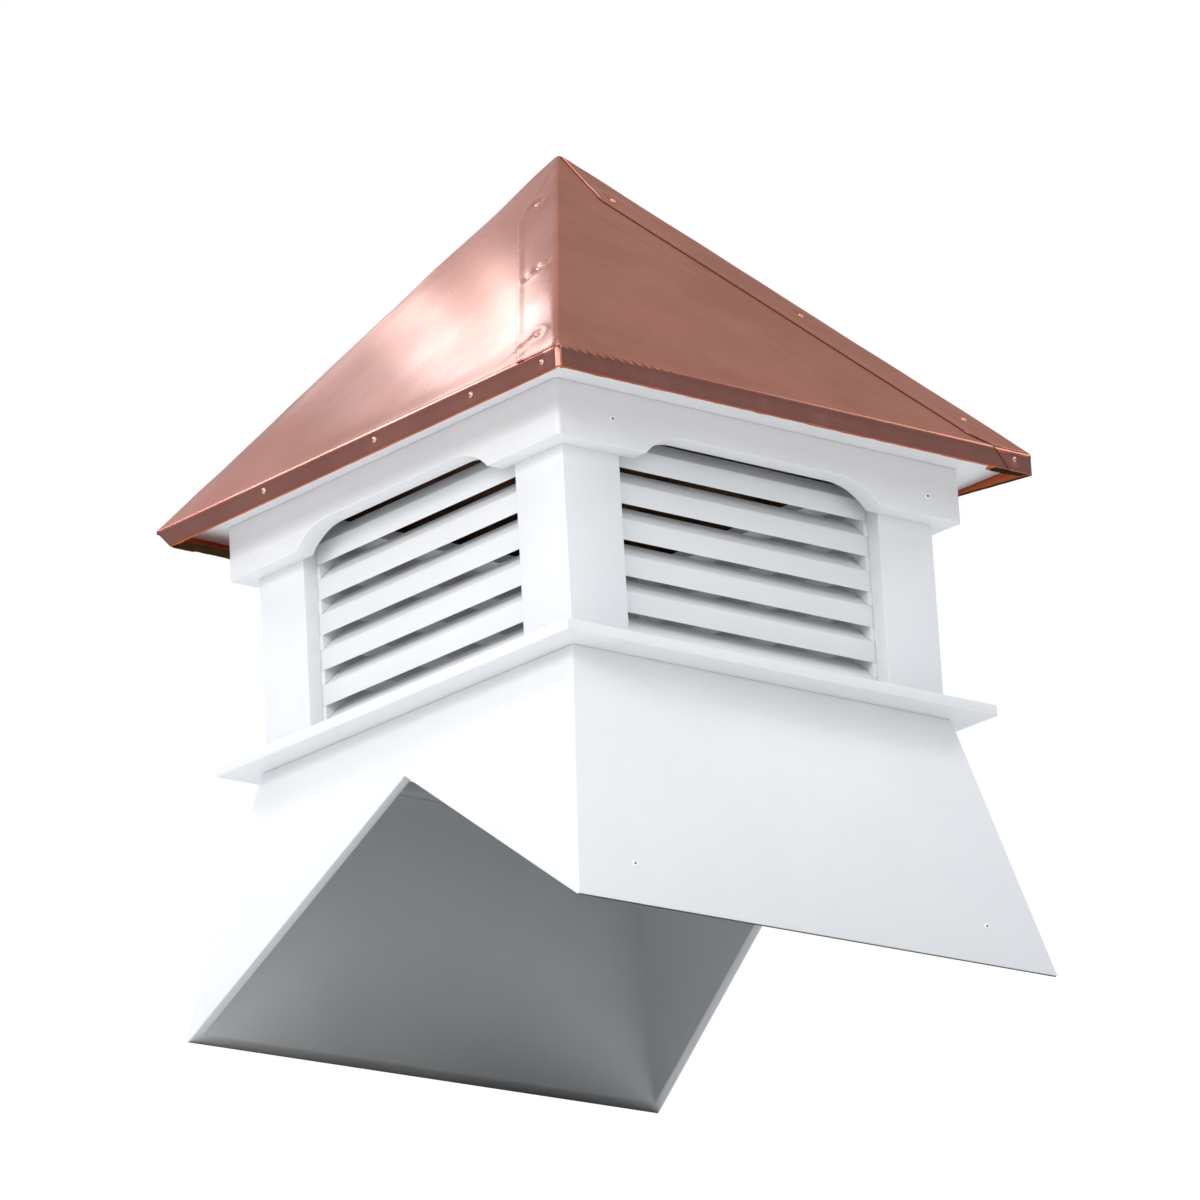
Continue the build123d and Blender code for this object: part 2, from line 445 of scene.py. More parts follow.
# width of the lap that each slope carries from its neighbour, how far down the kink is,
# and the tab that it ends in on the eave
laps = {
    "left": {"width": 55 * mm, "kink": 0.29, "tabTop": 19 * mm, "tabFoot": 18 * mm},
    "front": {"width": 60 * mm, "kink": 0.20, "tabTop": 46 * mm, "tabFoot": 28 * mm},
    "right": {"width": 56 * mm, "kink": 0.24, "tabTop": 46 * mm, "tabFoot": 28 * mm},
    "back": {"width": 58 * mm, "kink": 0.22, "tabTop": 46 * mm, "tabFoot": 28 * mm},
}
# nails through the laps: mm from the hip, then height
lapNails = {
    "left": [(28, 716.5), (26, 605.5), (27, 498.5)],
    "front": [(40.6, 730.3), (27, 610.0), (28, 500.0)],
    "right": [(28, 712.0), (26, 602.0), (27, 499.0)],
    "back": [(38, 726.0), (27, 604.0), (28, 501.0)],
}
# creases pressed into a slope: both ends, placed as the nails are, then the width
# and how much of the sheet's slack is taken up
creases = {
    "left": [
        (36, 715, 21, 722, 3.0, 0.6),
        (42, 597, 12, 610, 3.4, 0.7),
        (22, 500.5, 56, 484.5, 3.6, 0.9),
        (56, 484.5, 74, 477, 4.5, 0.4),
        (6, 483, 20, 478, 4.5, 0.3),
    ],
    "front": [
        (120, 695, 95, 640, 5.0, 0.35),
        (150, 560, 175, 500, 6.0, 0.3),
        (40, 735, 42, 726, 4.0, 0.8),
    ],
    "right": [
        (36, 711, 20, 718, 3.2, 0.9),
        (45, 593, 12, 607, 4.0, 0.9),
        (21, 502, 55, 485, 4.2, 0.9),
    ],
    "back": [
        (46, 722, 30, 729, 3.4, 0.9),
        (44, 595, 14, 609, 4.0, 0.8),
        (24, 503, 54, 488, 4.2, 0.8),
    ],
}
crumpled = {"front": 1.0, "right": 0.5, "back": 1.0, "left": 0.25}  # how beaten about each eave is
# width turned in under each eave, the front's as thin as the left's up to hemStart
hems = {"front": 9.5 * mm, "right": 4 * mm, "back": 17 * mm, "left": 1.6 * mm}
hemStart = 224 * mm
# nails through the eaves: mm along, as x or y on the object, then height
eaveNails = {
    "left": [(-258.9, 461.2), (-164.5, 461.5), (-32.6, 461.5), (123.4, 461.8)],
    "front": [(247.4, 462.0)],
    "right": [(258.0, 461.5), (160.0, 461.5), (30.0, 461.5), (-126.0, 461.5)],
    "back": [(-247.0, 462.0)],
}


def slopeOf(side):
    # half the length of its eave, how far out that is, and the peak, in the side's own plan
    along, out = (halfX, halfY) if side in ("front", "back") else (halfY, halfX)
    a = math.radians(-quarterTurns[side])
    u = peak.x * math.cos(a) - peak.y * math.sin(a)
    v = peak.x * math.sin(a) + peak.y * math.cos(a)
    return along, out, u, v


def nearLine(p, a, b):
    d = b - a
    k = min(max((p - a).dot(d) / d.dot(d), 0.0), 1.0)
    return (p - a - d * k).length


slopeRelief = {
    "slack": 0.6 * mm,  # how far the sheet stands off its board between nails
    "broadAlong": 150 * mm,
    "broadDown": 190 * mm,
    "softAlong": 62 * mm,
    "softDown": 80 * mm,
    "hipRun": 45 * mm,  # it is held down this far in from a hip
    "lapRun": 30 * mm,  # and this much less under its neighbour's lap
    "eaveRun": 30 * mm,
    "nailHold": 5 * mm,
    "nailRise": 0.4 * mm,  # of the ring pushed up round a nail
    "nailRing": 11 * mm,
    "ringWide": 6 * mm,
    "creaseRise": 0.3 * mm,  # on both sides of a crease
    "creaseAside": 2.2,  # widths of the crease from its middle
    "sunk": 0.1 * mm,  # where a nail or a crease holds it right down
}


def swell(side, u, t):
    # how far the sheet on a slope stands off its board, t running from the peak to the fold
    spec = slopeRelief
    along, out, peakU, peakV = slopeOf(side)
    length = math.hypot(out + peakV, rise)
    down = t * length
    leftEdge = u - (peakU - t * (along + peakU))
    rightEdge = (peakU + t * (along - peakU)) - u
    seed = 3.7 * quarterTurns[side]
    broad = noise.noise(Vector((u / spec["broadAlong"], down / spec["broadDown"], seed)))
    soft = noise.noise(Vector((u / spec["softAlong"], down / spec["softDown"], seed + 9)))
    free = smooth(min(leftEdge, rightEdge + spec["lapRun"]) / spec["hipRun"])
    free *= smooth((length - down) / spec["eaveRun"])
    h = free * spec["slack"] * (1 + 0.5 * broad + 0.1 * soft)
    p = Vector((rightEdge, down))
    held = 0.0
    for w, z in lapNails[side]:
        r = (p - Vector((w * mm, (peak.z - z * mm) / rise * length))).length
        h += spec["nailRise"] * math.exp(-((r - spec["nailRing"]) / spec["ringWide"]) ** 2)
        held = max(held, math.exp(-(r / spec["nailHold"]) ** 2))
    for w, z, w2, z2, width, deep in creases[side]:
        ends = [Vector((a * mm, (peak.z - b * mm) / rise * length)) for a, b in ((w, z), (w2, z2))]
        r = nearLine(p, *ends)
        aside = r - spec["creaseAside"] * width * mm
        h += spec["creaseRise"] * deep * math.exp(-(aside / (width * mm)) ** 2)
        held = max(held, deep * math.exp(-(r / (width * mm)) ** 2))
    return h * (1 - held) - spec["sunk"] * held


pleats = {
    "from": 130 * mm,  # how far left of the eave's middle they start
    "fade": 60 * mm,
    "pitch": 10 * mm,
    "slant": 4 * mm,  # they run down by this for each pitch along
    "height": 0.30 * mm,
    "reach": 3.5 * mm,
}


def eaveRipple(side, u, q):
    # small pleats slanting across the fold where it was beaten over, towards one corner
    spec = pleats
    near = smooth((-u - spec["from"]) / spec["fade"]) * crumpled[side]
    wave = math.sin(2 * math.pi * (u / spec["pitch"] + q / spec["slant"]))
    return spec["height"] * near * wave * math.exp(-(q / spec["reach"]) ** 2)


def hemWide(side, u):
    return hems["left"] if side == "front" and u < hemStart else hems[side]


def nailAcross(side, place):
    # a nail's place along an eave, from its x or y on the object
    return place * mm * {"front": 1, "right": 1, "back": -1, "left": -1}[side]


bentEaves = {
    "lean": 20 * mm,  # the back eave's foot leans in by this near the left corner
    "leanEnd": -235 * mm,  # as far along as here, and no more by leanGone
    "leanGone": -60 * mm,
    "leanDepth": 90 * mm,  # and no further forward than this
    "leanFade": 60 * mm,
    "upright": 3 * mm,  # past the corner it leans in close to the fold only
    "uprightFade": 9 * mm,
    "lift": 9 * mm,  # the right eave's foot is turned up by this, past the front corner
    "liftRun": 95 * mm,
    "liftDepth": 24 * mm,
    "liftFade": 10 * mm,
    "liftGone": 150 * mm,
}


def bentEave(p):
    # two eaves were knocked out of line: the back one's foot leans in, the right one's turns up
    spec = bentEaves
    k = min(max((foldZ - p.z) / drop, 0.0), 1.0)
    upright = smooth((p.x + halfX - spec["upright"]) / spec["uprightFade"])
    lean = spec["lean"] * (k + upright * (0.75 * smooth(4 * k) + 0.25 * k - k))
    lean *= 1 - smooth((p.x - spec["leanEnd"]) / (spec["leanGone"] - spec["leanEnd"]))
    lean *= smooth((p.y - halfY + spec["leanDepth"]) / spec["leanFade"])
    lift = spec["lift"] * k * smooth((p.x - halfX + spec["liftDepth"]) / spec["liftFade"])
    start = min(max((p.y + halfY) / spec["liftRun"], 0.0), 1.0)
    lift *= start * (1 - smooth(p.y / spec["liftGone"]))
    return Vector((p.x, p.y - lean, p.z + lift))


def bend(distance, reach, turn):
    # how far a rounded fold lies inside the sharp one, at a distance from it
    if distance >= reach or reach <= 0:
        return 0.0
    return math.sin(turn / 2) * reach / 2 * (1 - distance / reach) ** 2


def spacing(length, fine, step, end=(0.0,)):
    # even steps, with a few fine ones at the start and perhaps at the end
    start, stop = fine[-1], length - end[-1]
    count = max(1, round((stop - start) / step))
    middle = [start + (stop - start) * i / count for i in range(1, count)]
    return list(fine) + middle + [length - e for e in reversed(end)]


def sheetColumns(side):
    # (part, fraction of its width), from the lap's edge round the hip and across the slope
    s = roofSheets
    width, along = laps[lapsOnto[side]]["width"], slopeOf(side)[0]
    run = s["pleatRun"]
    lapSteps = spacing(width, fineSteps, s["lapMesh"], noseSteps)
    pleated = spacing(run, fineSteps, s["pleatMesh"] if crumpled[side] == 1.0 else s["mesh"])
    plain = spacing(2 * along - run, (0.0,), s["mesh"])
    ownSteps = pleated[1:] + [run + x for x in plain[1:]]
    columns = [("lap", x / width) for x in reversed(lapSteps)]
    return columns + [("own", x / (2 * along)) for x in ownSteps]


def sheetRows(length):
    # (t, distance below the fold, share of the hem's width), from the peak to the hem's edge
    slopeSteps = spacing(length, fineSteps[:-1], roofSheets["mesh"])
    slopeRows = [(1 - q / length, 0.0, 0.0) for q in reversed(slopeSteps)]
    bandRows = [(1.0, q, 0.0) for q in bandSteps if q < drop] + [(1.0, drop, 0.0)]
    hemRows = [(1.0, drop, share) for share in hemShares]
    return slopeRows, bandRows, hemRows


def sheetGrid(side):
    # what a whole sheet needs, in the side's own plan
    along, out, peakU, peakV = slopeOf(side)
    over = lapsOnto[side]
    overOut, overPeakV = slopeOf(over)[1::2]
    lap = laps[over]
    length = math.hypot(out + peakV, rise)
    columns = sheetColumns(side)
    slopeRows, bandRows, hemRows = sheetRows(length)
    hipColumn = [part for part, f in columns].count("lap") - 1
    runsOut = lap["tabTop"] > 0.5 * lap["width"]  # else the lap ends square, its tab narrower
    fromTab = [abs(f * lap["width"] - lap["tabTop"]) for part, f in columns[:hipColumn]]
    return {
        "side": side,
        "over": over,
        "length": length,
        "tilt": math.atan2(out + peakV, rise),  # of the slope's normal above level
        "overTilt": math.atan2(overOut + overPeakV, rise),
        "columns": columns,
        "hipColumn": hipColumn,
        "tabColumn": 0 if runsOut else fromTab.index(min(fromTab)),
        "runsOut": runsOut,
        "rows": slopeRows + bandRows + hemRows,
        "foldRow": len(slopeRows) - 1,
        "bandFoot": len(slopeRows) - 1 + len(bandRows),
    }


def sheetLevel(grid, row):
    # what holds all along one row: where its contour ends, and how wide its lap is
    s = roofSheets
    side, over, length = grid["side"], grid["over"], grid["length"]
    along, out, peakU, peakV = slopeOf(side)
    lap = laps[over]
    t, below, turnedIn = grid["rows"][row]
    onSlope = row <= grid["foldRow"]
    fromFold = (1 - t) * length if onSlope else below
    lapWidth = lap["width"] * min(1.0, t / lap["kink"])
    if grid["runsOut"]:
        lapWidth += (lap["tabTop"] - lap["width"]) * (1 - smooth((1 - t) * length / s["runOut"]))
    return {
        "t": t,
        "below": below,
        "turnedIn": turnedIn,
        "onSlope": onSlope,
        "fromFold": fromFold,
        "leftU": peakU - t * (along + peakU) + turnedIn * hemWide(over, along),
        "rightU": peakU + t * (along - peakU) - turnedIn * hemWide(tucksUnder[side], -along),
        "edgeV": peakV - t * (out + peakV),
        "z": peak.z - t * rise - below,
        "lapWidth": lapWidth,
        "tabWidth": lap["tabTop"] + (lap["tabFoot"] - lap["tabTop"]) * below / drop,
        "fold": bend(fromFold, s["eaveBend"], math.pi / 2 - grid["tilt"]),
    }


def sheetNormal(grid, level, onLap, mixed, inside):
    # which way the sheet faces, turning evenly round the hip and over both folds of the eave
    s = roofSheets
    outward, leftward = Vector((0, -1)), Vector((-1, 0))
    facing, other = (leftward, outward) if onLap else (outward, leftward)
    facing = (facing * (1 - mixed) + other * mixed).normalized()
    share = 1 - mixed if onLap else mixed
    slant = grid["tilt"] * (1 - share) + grid["overTilt"] * share
    if level["onSlope"]:
        angle = slant * (1 - 0.5 * (1 - smooth(level["fromFold"] / s["eaveBend"])))
    else:
        angle = slant * 0.5 * (1 - smooth(level["fromFold"] / s["eaveBend"]))
        toFoot = max(drop - level["below"], 0)
        turnedOver = 0.5 * (1 - toFoot / s["lowerBend"]) + 0.5 * inside / s["lowerBend"]
        angle -= math.pi / 2 * smooth(turnedOver)
    return Vector((facing.x * math.cos(angle), facing.y * math.cos(angle), math.sin(angle)))


bandRelief = {
    "slopeFade": 8 * mm,  # the slope's own relief is gone this far below the fold
    "wrinkle": 0.35 * mm,
    "wrinkleAlong": 11 * mm,
    "wrinkleDown": 30 * mm,
    "wrinkleFrom": 6 * mm,
    "nailDent": 0.45 * mm,
    "dentWide": 4.5 * mm,
}


def sheetRelief(level, face, faceU, inside):
    # slack, creases, pleats and dents, at a place along the slope that the sheet lies on here
    s = roofSheets
    spec = bandRelief
    below, fromFold = level["below"], level["fromFold"]
    rough = swell(face, faceU, level["t"])
    if not level["onSlope"]:
        rough *= 1 - smooth(below / spec["slopeFade"])
        seed = 4.1 * quarterTurns[face] + 2
        spot = Vector((faceU / spec["wrinkleAlong"], below / spec["wrinkleDown"], seed))
        wrinkle = spec["wrinkle"] * crumpled[face] * noise.noise(spot)
        rough += wrinkle * smooth(below / spec["wrinkleFrom"]) * (0.4 + below / drop)
        for place, nailZ in eaveNails[face]:
            r = math.hypot(faceU - nailAcross(face, place), level["z"] - nailZ * mm)
            rough -= spec["nailDent"] * math.exp(-(r / spec["dentWide"]) ** 2)
    bead = s["eaveBead"] * math.exp(-(fromFold / s["beadReach"]) ** 2) * (1 if inside == 0 else 0)
    return rough + (bead + eaveRipple(face, faceU, fromFold if level["onSlope"] else -fromFold))


def lapStand(level, away):
    # how far a lap stands off the sheet below it, most along its folded edge
    s = roofSheets
    edge = (level["lapWidth"] if level["onSlope"] else level["tabWidth"]) - away
    rounded = 2.0 * (1 - min(edge / s["noseRound"], 1)) ** 2
    nose = s["lapNose"] * (smooth((s["noseWide"] - edge) / s["noseRamp"]) - rounded)
    if not level["onSlope"]:
        nose *= 0.3
    return s["lapStands"] * smooth(away / s["lapRamp"]) + nose


# how the hip that each sheet wraps wanders
hipWaves = {
    "high": {"left": 1.8 * mm, "front": 0.4 * mm, "right": 0.7 * mm, "back": 0.7 * mm},
    "long": 42 * mm,
    "wide": 14 * mm,  # how far out from the hip it is felt
    "peakFade": 0.08,  # shares of the way down
    "eaveFade": 0.06,
}


def sheetPoint(grid, level, column):
    # one point of the sheet's outer face
    s = roofSheets
    side, over, length = grid["side"], grid["over"], grid["length"]
    part, f = grid["columns"][column]
    onLap = part == "lap"
    t, z, onSlope = level["t"], level["z"], level["onSlope"]
    leftU, rightU = level["leftU"], level["rightU"]
    wide = rightU - leftU
    inside = level["turnedIn"] * hemWide(side, leftU if onLap else leftU + f * wide)
    edgeV = level["edgeV"] + inside

    # its place on the boards, and how far from the hip that is
    if onLap:
        away = f * level["lapWidth"]
        if not onSlope and column >= grid["tabColumn"]:
            away = f * level["tabWidth"] / grid["columns"][grid["tabColumn"]][1]
        u, v = leftU, edgeV + away
        seen = turned(side, u, v, z)
        back = math.radians(-quarterTurns[over])
        face, faceU = over, seen.x * math.cos(back) - seen.y * math.sin(back)
        stand = lapStand(level, away)
    else:
        away = f * (wide - min(s["tuck"], 0.2 * wide))
        u, v = leftU + away, edgeV
        face, faceU = side, u
        stand = -s["sunk"] * (1 - smooth((rightU - u - s["sunkEdge"]) / s["sunkWide"]))
    if inside > 0:
        stand = 0.0

    # out along the normal by its relief, and in by the rounding of the folds
    widening = smooth((t - s["cornerFrom"]) / (1 - s["cornerFrom"]))
    widest = s["hipBend"] + (s["cornerBend"][side] - s["hipBend"]) * widening
    reach = min(widest, 0.4 * wide)
    mixed = 0.5 * (1 - smooth(away / max(reach, 1e-9)))
    normal = sheetNormal(grid, level, onLap, mixed, inside)
    offset = (stand + sheetRelief(level, face, faceU, inside)) * smooth(t / s["peakRamp"])
    lower = 0.0
    if not onSlope:
        offset = min(offset, s["bandStands"])
        lower = bend(max(drop - level["below"], inside), s["lowerBend"], math.pi / 2)
    p = Vector((u, v, z)) + normal * (offset - level["fold"] - lower)
    diagonal = Vector((1, 1, 0)).normalized()
    p += diagonal * bend(away, reach, math.pi / 2) * (1 if inside < s["cornerIn"] else 0)
    spec = hipWaves
    wave = noise.noise(Vector((t * length / spec["long"], 0.5, 2.3 * quarterTurns[side])))
    wave *= (spec["high"][side] * (1 - smooth(away / spec["wide"]))
             * smooth(t / spec["peakFade"]) * smooth((1 - t) / spec["eaveFade"]))
    p += diagonal * wave
    p.z = min(p.z, peak.z - s["blunt"])
    return bentEave(turned(side, p.x, p.y, p.z))


def roofSheet(side):
    s = roofSheets
    grid = sheetGrid(side)
    wide, high = len(grid["columns"]), len(grid["rows"])
    points = []
    for row in range(high):
        level = sheetLevel(grid, row)
        points += [sheetPoint(grid, level, column) for column in range(wide)]
    faces = []
    for row in range(high - 1):
        # the lap narrows to its tab below the fold, and the hem has none
        first = 0 if row < grid["foldRow"] else grid["tabColumn"]
        if row >= grid["bandFoot"]:
            first = grid["hipColumn"]
        for column in range(first, wide - 1):
            a = row * wide + column
            faces.append((a, a + wide, a + wide + 1, a + 1))
    # the side facing in takes the slot after that of the side facing out
    sheet = meshPiece("copper" + side.capitalize(), points, faces, copper)
    for finish in (orangeCopperReflected, hemShadeCopper, orangeCopperReflected):
        sheet.data.materials.append(finish)
    # painted light on the hem: the thin hems of the left and the near front take the orange copper
    # of painted reflection, the others the near-black copper of painted shade
    for face in sheet.data.polygons:
        row = face.vertices[0] // wide
        thin = side == "left" or side == "front" and face.center.x < hemStart
        if row >= grid["bandFoot"] - 1 and thin:
            face.material_index = 1
        elif row >= grid["bandFoot"]:
            face.material_index = 2
    cleaned(sheet)
    skin = sheet.modifiers.new("thickness", "SOLIDIFY")
    skin.thickness = s["thickness"]
    skin.offset = -1
    skin.material_offset = 1
    applied(sheet)
    shaded(sheet, s["shade"])
    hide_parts("roof_sheet_" + side)
    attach(sheet, "root")
    return sheet


for side in sides:
    sheet = roofSheet(side)
    print("copper sheet", side, len(sheet.data.polygons), "faces")


# deck and soffit boards, the deck's feet cut level, so that the copper shows over the hem

roofBoards = {
    "lip": 2.5 * mm,  # the soffit's edge under the deck's feet
    "corner": 7 * mm,  # taken off its corners, clear of the rounded copper
    "innerCorner": 0.5 * mm,
    "inside": 30 * mm,  # how far it runs in over the posts
    "play": 1.0 * mm,
    "shortBack": 14.0 * mm,  # it stops short of the copper by this along the back
}


def cutLevel(part):
    # the deck's feet, off at the top of the soffit's lip
    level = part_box("soffit_front")[0].z + roofBoards["lip"]
    everything = part.verts[:] + part.edges[:] + part.faces[:]
    bmesh.ops.bisect_plane(
        part, geom=everything, plane_co=(0, 0, level), plane_no=(0, 0, 1), clear_inner=True)
    bmesh.ops.holes_fill(part, edges=[edge for edge in part.edges if edge.is_boundary])


def deckBoards():
    members = ["roof_deck_" + side for side in sides]
    piece = gathered("deckBoards", members, cutLevel, None, plywood)
    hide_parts(*members)
    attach(piece, "root")


def soffitBoards():
    spec = roofBoards
    boxes = {side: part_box("soffit_" + side) for side in sides}
    low, high = boxes["front"][0].z, boxes["front"][1].z
    inside = -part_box("corner_post_front_left")[0].x - spec["inside"]
    inner = {side: inside for side in sides}
    # how far the deck lets the soffit reach at its own face, by side
    reach = {"front": -boxes["front"][0].y, "right": boxes["right"][1].x,
             "back": boxes["back"][1].y, "left": -boxes["left"][0].x}
    copperAt = {"front": halfY, "right": halfX, "back": halfY - spec["shortBack"], "left": halfX}
    outer = {side: copperAt[side] - spec["play"] for side in sides}
    under = {side: min(reach[side], outer[side]) - spec["lip"] for side in sides}
    upper = {side: min(reach[side], outer[side]) - high + low for side in sides}
    loops = [
        (inner, low, spec["innerCorner"]),
        (outer, low, spec["corner"]),
        (outer, low + spec["lip"], spec["corner"]),
        (under, low + spec["lip"], spec["corner"]),
        (upper, high, spec["corner"]),
        (inner, high, spec["innerCorner"]),
    ]
    points, faces = [], []
    for far, z, c in loops:
        f, r, b, l = (far[side] for side in sides)
        plan = [(-l + c, -f), (r - c, -f), (r, -f + c), (r, b - c)]
        plan += [(r - c, b), (-l + c, b), (-l, b - c), (-l, -f + c)]
        points += [Vector((x, y, z)) for x, y in plan]
    for loop in range(len(loops)):
        for k in range(8):
            a, b = 8 * loop, 8 * ((loop + 1) % len(loops))
            faces.append((a + k, a + (k + 1) % 8, b + (k + 1) % 8, b + k))
    piece = meshPiece("soffitBoards", points, faces, pvc)
    cleaned(piece)
    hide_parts(*["soffit_" + side for side in sides])
    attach(piece, "root")


soffitBoards()
deckBoards()
print("roof boards cut")


# nails of the roof, screws of the frieze and the base

copperNail = {
    "radius": 3.0 * mm,
    "height": 1.7 * mm,
    # its dome, from the middle out: shares of the radius and of the height
    "dome": [(0, 1), (0.4, 0.93), (0.72, 0.68), (0.93, 0.3), (1, 0), (1, -0.4)],
    "round": 20,
    "bandSeat": 0.35 * mm,  # its rim lies this far inside the eave's edge
    "lapSeat": 0.8 * mm,  # and this far outside the slope, on the lap
    "shade": 50,
}
steelScrew = {
    "radius": 3.0 * mm,
    "height": 0.9 * mm,
    "recess": 1.1 * mm,
    "round": 18,
    "shade": 40,
    "frieze": ((-168.8, 438.7), (189.6, 433.3)),  # mm along, then height
    "base": ((-197.6, 36.7), (194.8, 36.5)),
    "wallTop": 213.5 * mm,  # half the base's width where its flare starts
}


def lathed(points, faces, profile, place, axis, count):
    # a solid of revolution, profile from its axis outward as (radius, height)
    turn = Vector(axis).to_track_quat("Z", "Y").to_matrix()
    start = len(points)
    points.append(place + turn @ Vector((0, 0, profile[0][1])))
    for radius, height in profile[1:]:
        for k in range(count):
            a = 2 * math.pi * k / count
            rim = Vector((radius * math.cos(a), radius * math.sin(a), height))
            points.append(place + turn @ rim)
    for k in range(count):
        faces.append((start, start + 1 + k, start + 1 + (k + 1) % count))
    for ring in range(len(profile) - 2):
        first = start + 1 + ring * count
        for k in range(count):
            a, b = first + k, first + (k + 1) % count
            faces.append((a, a + count, b + count, b))
    last = start + 1 + (len(profile) - 2) * count
    faces.append(tuple(last + k for k in reversed(range(count))))


def roofNails():
    spec = copperNail
    profile = [(a * spec["radius"], b * spec["height"]) for a, b in spec["dome"]]
    points, faces = [], []
    for side in sides:
        along, out, peakU, peakV = slopeOf(side)
        for across, z in eaveNails[side]:
            place = turned(side, nailAcross(side, across), -out + spec["bandSeat"], z * mm)
            lathed(points, faces, profile, bentEave(place), turned(side, 0, -1, 0), spec["round"])
        tilt = math.atan2(out + peakV, rise)
        normal = turned(side, 0, -math.cos(tilt), math.sin(tilt))
        for w, z in lapNails[side]:
            t = (peak.z - z * mm) / rise
            u, v = peakU + t * (along - peakU) - w * mm, peakV - t * (out + peakV)
            place = turned(side, u, v, z * mm) + normal * spec["lapSeat"]
            lathed(points, faces, profile, place, normal, spec["round"])
    # the heads take the paler copper of a painted highlight
    nails = meshPiece("copperNails", points, faces, nailHighlightCopper)
    shaded(nails, spec["shade"])
    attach(nails, "root")


def boardScrews():
    # enamelled heads; the recess is coloured dark as painted shade
    spec = steelScrew
    r, h, hole = spec["radius"], spec["height"], spec["recess"]
    profile = [(0, 0.1 * h), (0.8 * hole, 0.12 * h), (hole, 0.8 * h), (1.15 * hole, h)]
    profile += [(0.85 * r, h), (r, 0.5 * h), (r, -0.5 * h)]
    friezeOut = -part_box("frieze_front")[0].y
    wallLow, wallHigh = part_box("base_wall_front")
    flare = math.atan2(-wallLow.y - spec["wallTop"], wallHigh.z)
    points, faces = [], []
    for side in ("front", "back"):
        for x, z in spec["frieze"]:
            place = turned(side, x * mm, -friezeOut, z * mm)
            lathed(points, faces, profile, place, turned(side, 0, -1, 0), spec["round"])
        for x, z in spec["base"]:
            place = turned(side, x * mm, wallLow.y + z * mm * math.tan(flare), z * mm)
            normal = turned(side, 0, -math.cos(flare), math.sin(flare))
            lathed(points, faces, profile, place, normal, spec["round"])
    screws = meshPiece("boardScrews", points, faces, enamel)
    screws.data.materials.append(recess)
    # each screw's first two rings of faces are its recess, coloured dark as painted shade
    each, dark = (len(profile) - 1) * spec["round"] + 1, 2 * spec["round"]
    for face in screws.data.polygons:
        face.material_index = 1 if face.index % each < dark else 0
    shaded(screws, spec["shade"])
    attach(screws, "root")


roofNails()
boardScrews()
print("nails and screws placed")


# stage, light and camera

studio = {
    "floor": "#F2F2F0",
    "floorSize": 12.0,
    "ambient": "#F3F6FB",
    "ambientLow": 0.45,
    "ambientHigh": 1.0,
    "ambientRise": (0.4, 0.6),  # sines of the heights between which it goes from low to high
    "lowSky": "#A2B6C6",  # metal sees the sky darker towards the horizon
    "highSky": "#FFFFFF",
    "skyRise": (0.32, 0.62),
}
# place and aim, the size along the direction given, or else upright, then across it, in metres,
# and the power in watts
lamps = {
    "keyLamp": {
        "place": (-3.83, -0.57, 1.43), "aim": (0, 0, 0.4),
        "size": (1.2, 1.2), "power": 35, "colour": "#FFFAF4",
    },
    "fillLamp": {
        "place": (-1.15, -3.7, 1.2), "aim": (0, 0, 0.4),
        "size": (1.2, 1.2), "power": 11, "colour": "#FFFFFF",
    },
    # the rest show in the copper: the near corner, the glare and the soft light of the left
    # slope, its band and the folds
    "cornerLamp": {
        "place": (-2.67, -1.78, 1.45), "aim": (-0.27, -0.28, 0.46),
        "size": (0.3, 2.0), "power": 18, "colour": "#FFFFFF",
    },
    "glareLamp": {
        "place": (-0.111, 0.318, 0.908), "aim": (-0.235, -0.115, 0.512),
        "size": (0.13, 0.07), "along": (0.38, 0.817, 0.435), "power": 0.18, "colour": "#C8EEFF",
    },
    "glowLamp": {
        "place": (-0.07, 0.471, 0.945), "aim": (-0.195, 0.04, 0.558),
        "size": (0.32, 0.13), "along": (0.38, 0.817, 0.435), "power": 0.15, "colour": "#C8EEFF",
    },
    "stripLamp": {
        "place": (-0.13, 0.197, 0.891), "aim": (-0.253, -0.234, 0.49),
        "size": (0.09, 0.04), "along": (0.52, 0.6, 0.61), "power": 0.17, "colour": "#C8EEFF",
    },
    "slopePanel": {
        "place": (0.32, 1.755, 2.23), "aim": (-0.2, -0.05, 0.58),
        "size": (1.7, 1.4), "power": 4.8, "colour": "#CFE2FF",
    },
    "bandPanel": {
        "place": (-1.81, 1.79, 1.28), "aim": (-0.27, 0, 0.46),
        "size": (1.0, 1.6), "power": 1.2, "colour": "#E4ECFF",
    },
    "leftFoldLamp": {
        "place": (-0.92, 1.38, 1.78), "aim": (-0.27, -0.12, 0.47),
        "size": (0.4, 0.5), "power": 10, "colour": "#F4F6FF",
    },
    "frontFoldLamp": {
        "place": (1.5, -0.98, 1.57), "aim": (0, -0.28, 0.47),
        "size": (0.5, 0.5), "power": 3.4, "colour": "#FFFFFF",
    },
    "topLamp": {
        "place": (-0.05, 0.1, 2.6), "aim": (0, 0, 0.5),
        "size": (0.6, 0.6), "power": 4.5, "colour": "#FFFFFF",
    },
}


